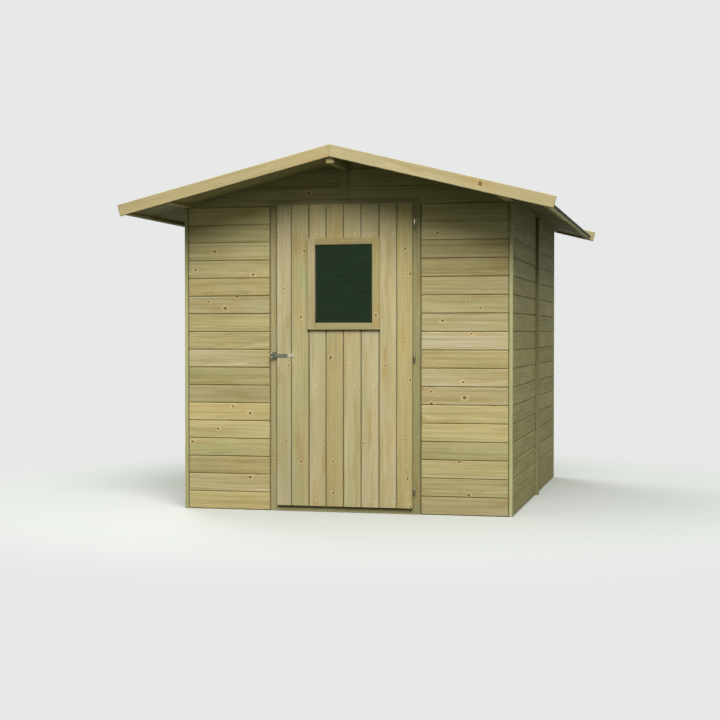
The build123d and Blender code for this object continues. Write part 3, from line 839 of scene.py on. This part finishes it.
bright_zinc = weathered_zinc("bright_zinc", srgb(224, 222, 200), srgb(244, 242, 224), 0.30)
plate_zinc = weathered_zinc("zinc_plate", srgb(176, 174, 150), srgb(214, 212, 188), 0.32)
dull_zinc = weathered_zinc("dull_zinc", srgb(62, 66, 54), srgb(138, 138, 116), 0.26)
hinge_zinc = weathered_zinc("hinge_zinc", srgb(128, 128, 108), srgb(196, 194, 170), 0.24)
strap_zinc = weathered_zinc("strap_zinc", srgb(84, 87, 72), srgb(158, 157, 134), 0.26)
refinish("hasp_plate", plate_zinc)
refinish("hasp_strap", strap_zinc)
refinish("hasp_staple", dull_zinc)
refinish("hinge_pins", dull_zinc)
refinish("hinge_knuckles", hinge_zinc)
plate_low, plate_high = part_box("hasp_plate")
plate_face = leaf_face - plate_thickness
hasp_level = (plate_low.z + plate_high.z) / 2
hasp_screws = bmesh.new()
brads(hasp_screws, [Vector((plate_high.x - inset, plate_face, hasp_level))
                    for inset in hasp_screw_insets],
      -y_axis, hasp_screw_radius, hasp_screw_height, segments=12)
piece(hasp_screws, "hasp_plate_screws", dull_zinc, "door", "zinc_steel")
staple_low, staple_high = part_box("hasp_staple")
staple_left = staple_low.x + staple_screw_inset
staple_face = staple_high.y - plate_thickness
staple_screws = bmesh.new()
brads(staple_screws, [Vector((staple_left, staple_face, hasp_level + side * staple_screw_lift))
                      for side in (-1, 1)],
      -y_axis, staple_screw_radius, staple_screw_height, segments=16)
piece(staple_screws, "staple_plate_screws", bright_zinc, "shed", "zinc_steel")


# Purlins: planed softwood beams that carry the roof, one under its apex and a bevelled rail on
# each side wall. They pass through the gables, and the roof panels are nailed down to them.
purlin_timber = timber("purlins", srgb(190, 176, 126), srgb(158, 140, 90), srgb(192, 166, 110),
                       srgb(170, 166, 118), srgb(186, 172, 138), grain=0.6)
piece(dressed("ridge_purlin", y_axis, frame_edge, 81, -0.4, -0.1), "ridge_beam", purlin_timber,
      "shed", "framing", "ridge_purlin")
piece(dressed("side_purlins", y_axis, frame_edge, 82), "side_rails", purlin_timber, "shed",
      "framing", "side_purlins")


# Roof boards: tongued and grooved softwood boards that run down the slope, nine to a panel and
# three panels to a side. They are nailed to the purlins, with their V-joints underneath.
boards_per_panel = 9
# The roof boards' colours are written darker and greener than the wall boards', partly as less
# weathered timber and partly as painted shade under the roof.
roof_timber = timber("roof_boards", srgb(166, 160, 116), srgb(134, 124, 80), srgb(166, 148, 100),
                     srgb(148, 150, 106), srgb(164, 156, 126))
roof_slope = math.radians(14.0)
ridge_overrun = 0.02
deck_thickness = 0.016
# The right slope's boards are darker still: painted shade.
painted_shade_losses = {"left": 0.0, "right": 0.7}
ridge_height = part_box("ridge_purlin")[1].z
eave_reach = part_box("roof_panel_right_1")[1].x - deck_thickness * math.sin(roof_slope)
eave_run = eave_reach / math.cos(roof_slope)
roof_sides = (("left", -1), ("right", 1))
roof_chance = random.Random(91)


def slope_axes(turn):
    """Down the roof's slope and straight up from it, on the left for -1 and the right for 1."""
    return (Vector((turn * math.cos(roof_slope), 0, -math.sin(roof_slope))),
            Vector((turn * math.sin(roof_slope), 0, math.cos(roof_slope))))


for side, turn in roof_sides:
    down, up = slope_axes(turn)
    axes = (down, y_axis, -up)
    length = eave_run + ridge_overrun
    for number in ("1", "2", "3"):
        node = "roof_panel_" + side + "_" + number
        low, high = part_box(node)
        cover = (high.y - low.y) / boards_per_panel
        bm = bmesh.new()
        layers = grain_layers(bm)
        for index in range(boards_per_panel):
            corner = Vector((0, low.y + index * cover, ridge_height)) - down * ridge_overrun
            verts = matched_board(bm, corner, axes, length, cover, deck_thickness,
                                  index < boards_per_panel - 1)
            shade = roof_chance.random() - painted_shade_losses[side]
            start = mark_grain(layers, verts, corner, axes, roof_chance, None, shade)
            mark_knots(layers, verts, grown_knots(roof_chance, start, length, cover))
        saw(bm, Vector((0, 0, 0)), -x_axis * turn)
        piece(bm, node + "_boards", roof_timber, "shed", "roof_boards", node)


# Roofing felt: mineral-faced sheets laid level along each slope, the upper one lapped over the
# lower, which is turned down over the eave. A capping strip is bent over the ridge, and
# broad-headed clout nails hold the edges.
sheet_thickness = 0.0014
sheet_lap = 0.080
lap_ramp = 0.020
lower_sheet_share = 0.52
cap_reach = 0.150
felt_turn_down = 0.012
fold_round = 0.0012
clout_radius = 0.0048
clout_height = 0.0012
clout_inset = 0.022
clout_spacing = 0.098
grit_dark = srgb(50, 51, 41)
grit_pale = srgb(92, 92, 76)
grit_bright = srgb(132, 134, 122)
felt_patch = srgb(58, 61, 55)
felt_run_off = srgb(96, 98, 84)
felt = Finish(bpy.data.materials.new("mineral_felt"))
felt_place = felt.place()
grit = felt.node("TexVoronoi", feature="F1")
grit.inputs["Scale"].default_value = 520.0
felt.feed(grit.inputs["Vector"], felt_place)
grit_tone, grit_shade, grit_age = felt.parts(grit.outputs["Color"])
patch = felt.noise(felt_place, 2.2, 4.0)
run_off = felt.stretched(felt_place, (2.0, 22.0, 2.0), 3.0)
felt_colour = felt.blend(grit_tone, grit_dark, grit_pale)
felt_colour = felt.blend(felt.ease(grit_shade, 0.86, 0.95), felt_colour, grit_bright)
felt_colour = felt.blend(felt.ease(patch, 0.35, 0.7, 0.0, 0.55), felt_colour, felt_patch)
felt_colour = felt.blend(felt.ease(run_off, 0.52, 0.78, 0.0, 0.35), felt_colour, felt_run_off)
felt.surface("Base Color", felt_colour)
felt.surface("Roughness", felt.ease(grit_age, 0.0, 1.0, 0.78, 0.95))
felt.surface("Specular IOR Level", 0.2)
waves = felt.stretched(felt_place, (3.0, 7.2, 3.0))
felt.bump(felt.calc("MULTIPLY_ADD", waves, 9.0, grit.outputs["Distance"]), 0.6, 0.0012)


def felt_sheet(bm, section, ridge, down, up, y_low, y_high, rounded=()):
    """A sheet's section, given as distance down the slope and lift, carried along the roof."""
    verts = [bm.verts.new(ridge + down * run + up * lift + y_axis * y_low) for run, lift in section]
    made = bmesh.ops.extrude_face_region(bm, geom=[bm.faces.new(verts)])["geom"]
    moved = [part for part in made if isinstance(part, bmesh.types.BMVert)]
    bmesh.ops.translate(bm, verts=moved, vec=y_axis * (y_high - y_low))
    folds = [edge for index in rounded for edge in verts[index].link_edges
             if abs(edge.verts[0].co.y - edge.verts[1].co.y) > sheet_lap]
    if folds:
        bmesh.ops.bevel(bm, geom=folds, offset=fold_round, segments=3, profile=0.5,
                        affect="EDGES", material=-1)
    bmesh.ops.recalc_face_normals(bm, faces=bm.faces)


felt_low, felt_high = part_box("roofing_felt_right")
felt_length = felt_high.y - felt_low.y
lap_run = eave_run * (1 - lower_sheet_share)
lap_end = lap_run + sheet_lap
ridge = Vector((0, 0, ridge_height))
bed = deck_thickness
top = bed + sheet_thickness
lap_top = top + sheet_thickness
hem = bed - felt_turn_down
lower_section = [(lap_run, bed), (eave_run, bed), (eave_run, hem), (eave_run + sheet_thickness, hem),
                 (eave_run + sheet_thickness, top), (lap_run, top)]
upper_section = [(-ridge_overrun, bed), (lap_run - lap_ramp, bed), (lap_run, top), (lap_end, top),
                 (lap_end, lap_top), (lap_run, lap_top), (lap_run - lap_ramp, top),
                 (-ridge_overrun, top)]
clout_rows = ((lap_end - clout_inset, lap_top), (cap_reach - clout_inset, lap_top),
              (eave_run - clout_inset, top))
clout_count = round(felt_length / clout_spacing)
clouts = bmesh.new()
for side, turn in roof_sides:
    down, up = slope_axes(turn)
    bm = bmesh.new()
    felt_sheet(bm, lower_section, ridge, down, up, felt_low.y, felt_high.y, rounded=(4,))
    felt_sheet(bm, upper_section, ridge, down, up, felt_low.y, felt_high.y)
    saw(bm, Vector((0, 0, 0)), -x_axis * turn)
    piece(bm, "felt_sheets_" + side, felt.material, "shed", "roofing_felt", "roofing_felt_" + side)
    spots = []
    for run, lift in clout_rows:
        for index in range(clout_count):
            y = felt_low.y + (index + 0.5) * felt_length / clout_count
            spots.append(ridge + down * run + up * lift + y_axis * y)
    brads(clouts, spots, up, clout_radius, clout_height, segments=10)
piece(clouts, "felt_clout_nails", dull_zinc, "shed", "zinc_steel")
cap = bmesh.new()
cap_section = []
for lift, turns in ((top, (-1, 0, 1)), (lap_top, (1, 0, -1))):
    for turn in turns:
        run = cap_reach * abs(turn)
        slant_x = run * math.cos(roof_slope) + lift * math.sin(roof_slope)
        slant_z = lift * math.cos(roof_slope) - run * math.sin(roof_slope)
        cap_section.append((turn * slant_x, slant_z if turn else lift / math.cos(roof_slope)))
felt_sheet(cap, cap_section, ridge, x_axis, z_axis, felt_low.y, felt_high.y, rounded=(1, 4))
piece(cap, "ridge_felt_capping", felt.material, "shed", "roofing_felt")


# Eave battens: sawn softwood lengths under the lower edges of the roof panels, one to a panel.
# They are nailed up into the boards and stiffen the edge that the felt is turned over.
piece(dressed("eave_battens", y_axis, stud_edge, 95, shade=0.6), "eave_lengths", strip_timber,
      "shed", "trim", "eave_battens")


# Bargeboards: planed softwood boards on both ends of the roof, mitred at the ridge and nailed to
# the ends of the purlins and roof boards.
barge_timber = timber("bargeboards", srgb(184, 171, 128), srgb(156, 140, 97), srgb(184, 162, 115),
                      srgb(168, 160, 116), srgb(184, 170, 140), grain=0.55, knot_ring=0.2)
barge_edge = 0.003
barge_shade = 0.55
barge_knots = ((0.853, 1.866, 0.006), (0.853, 1.876, 0.005))
barge_seeds = {"front": 101, "rear": 103}
barge_nail_runs = (0.045, 0.5, 0.975)
barge_nail_lifts = (-0.004, 0.034)
barge_nail_radius = 0.0022
barge_nails = bmesh.new()
for end, out in (("front", -y_axis), ("rear", y_axis)):
    for side, turn in roof_sides:
        node = "bargeboard_" + end + "_" + side
        down, up = slope_axes(turn)
        seed = barge_seeds[end] + (side == "right")
        knots = barge_knots if end == "front" else ()
        piece(dressed(node, down, barge_edge, seed, None, barge_shade, knots=0.0, placed=knots),
              node + "_planed", barge_timber, "shed", "trim", node)
        low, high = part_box(node)
        face = low.y if end == "front" else high.y
        spots = [ridge + down * run + up * lift + y_axis * face
                 for run in barge_nail_runs for lift in barge_nail_lifts]
        brads(barge_nails, spots, out, barge_nail_radius, brad_height)
piece(barge_nails, "bargeboard_nails", bright_nail, "shed", "zinc_steel")


# Floor, lights and camera: a pale floor that fades into the pale surround, a broad soft lamp high
# in front, weak ones low and on the left to fill, one behind, and a soft dome of light above.
pale_surround = (0.80, 0.81, 0.80, 1.0)
floor_radius = 60.0
floor_colour = (0.60, 0.605, 0.60, 1.0)
floor_bounce = (0.04, 0.050, 0.034, 1.0)
floor_fade = (1.6, 3.8)
dome_tint = (0.88, 1.0, 0.82, 1.0)
dome_heights = (0.10, 0.75)
dome_strengths = (0.02, 0.65)


def where_seen(finish):
    """1 where floor or surround is seen, also in metal and through glass, 0 where it only lights."""
    rays = finish.node("LightPath").outputs
    beyond = finish.calc("MAXIMUM", rays["Is Glossy Ray"], rays["Is Transmission Ray"])
    return finish.calc("MAXIMUM", rays["Is Camera Ray"], beyond)


bm = bmesh.new()
bmesh.ops.create_circle(bm, cap_ends=True, segments=96, radius=floor_radius)
mesh = bpy.data.meshes.new("studio_floor")
bm.to_mesh(mesh)
bm.free()
floor = bpy.data.objects.new("studio_floor", mesh)
bpy.context.scene.collection.objects.link(floor)
floor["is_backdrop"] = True
ground = Finish(bpy.data.materials.new("studio_floor"))
seen = where_seen(ground)
ground.surface("Base Color", ground.blend(seen, floor_bounce, floor_colour))
ground.surface("Roughness", 0.9)
ground.surface("Specular IOR Level", 0.1)
glow = ground.node("Emission")
glow.inputs["Color"].default_value = pale_surround
distance = ground.vector("LENGTH", ground.place())
haze = ground.node("MixShader")
ground.feed(haze.inputs[0], ground.calc("MULTIPLY", ground.ease(distance, *floor_fade), seen))
ground.feed(haze.inputs[1], ground.shader.outputs[0])
ground.feed(haze.inputs[2], glow.outputs[0])
ground.feed(ground.tree.nodes["Material Output"].inputs["Surface"], haze.outputs[0])
mesh.materials.append(ground.material)

world = bpy.data.worlds.new("studio_surround")
bpy.context.scene.world = world
sky = Finish(world)
height = sky.parts(sky.node("TexCoord").outputs["Generated"])[2]
dome = sky.ease(height, *dome_heights, *dome_strengths)
dome_colour = sky.blend(1.0, dome_tint, dome, "MULTIPLY")
sky.feed(sky.tree.nodes["Background"].inputs["Color"],
         sky.blend(where_seen(sky), dome_colour, pale_surround))

light_target = Vector((0.0, -0.8, 1.0))
light_distance = 14.0
lamps = (
    ("front_light", 22, 43, 8.4, 2215.0), ("low_light", 20, 16, 7.4, 140.0),
    ("left_light", -40, 44, 7.4, 110.0), ("rear_light", 218, 38, 8.4, 900.0),
)
for name, bearing, rise, size, power in lamps:
    lamp = bpy.data.lights.new(name, "AREA")
    lamp.shape = "DISK"
    lamp.size = size
    lamp.energy = power
    bearing = math.radians(bearing)
    rise = math.radians(rise)
    level = math.cos(rise)
    toward = Vector((math.sin(bearing) * level, -math.cos(bearing) * level, math.sin(rise)))
    lamp_object = bpy.data.objects.new(name, lamp)
    lamp_object.location = light_target + toward * light_distance
    lamp_object.rotation_euler = (-toward).to_track_quat("-Z", "Y").to_euler()
    bpy.context.scene.collection.objects.link(lamp_object)

camera_place = (2.035594, -9.460235, 1.054430)
camera_dip = 0.0185759
camera_turn = 0.228977
camera = bpy.data.cameras.new("camera")
camera.sensor_width = 36.0
camera.lens = 73.27
camera_object = bpy.data.objects.new("camera", camera)
camera_object.location = camera_place
camera_object.rotation_euler = (math.pi / 2 - camera_dip, 0.0, camera_turn)
bpy.context.scene.collection.objects.link(camera_object)
bpy.context.scene.camera = camera_object
bpy.context.scene.view_settings.view_transform = "Standard"

low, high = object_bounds()
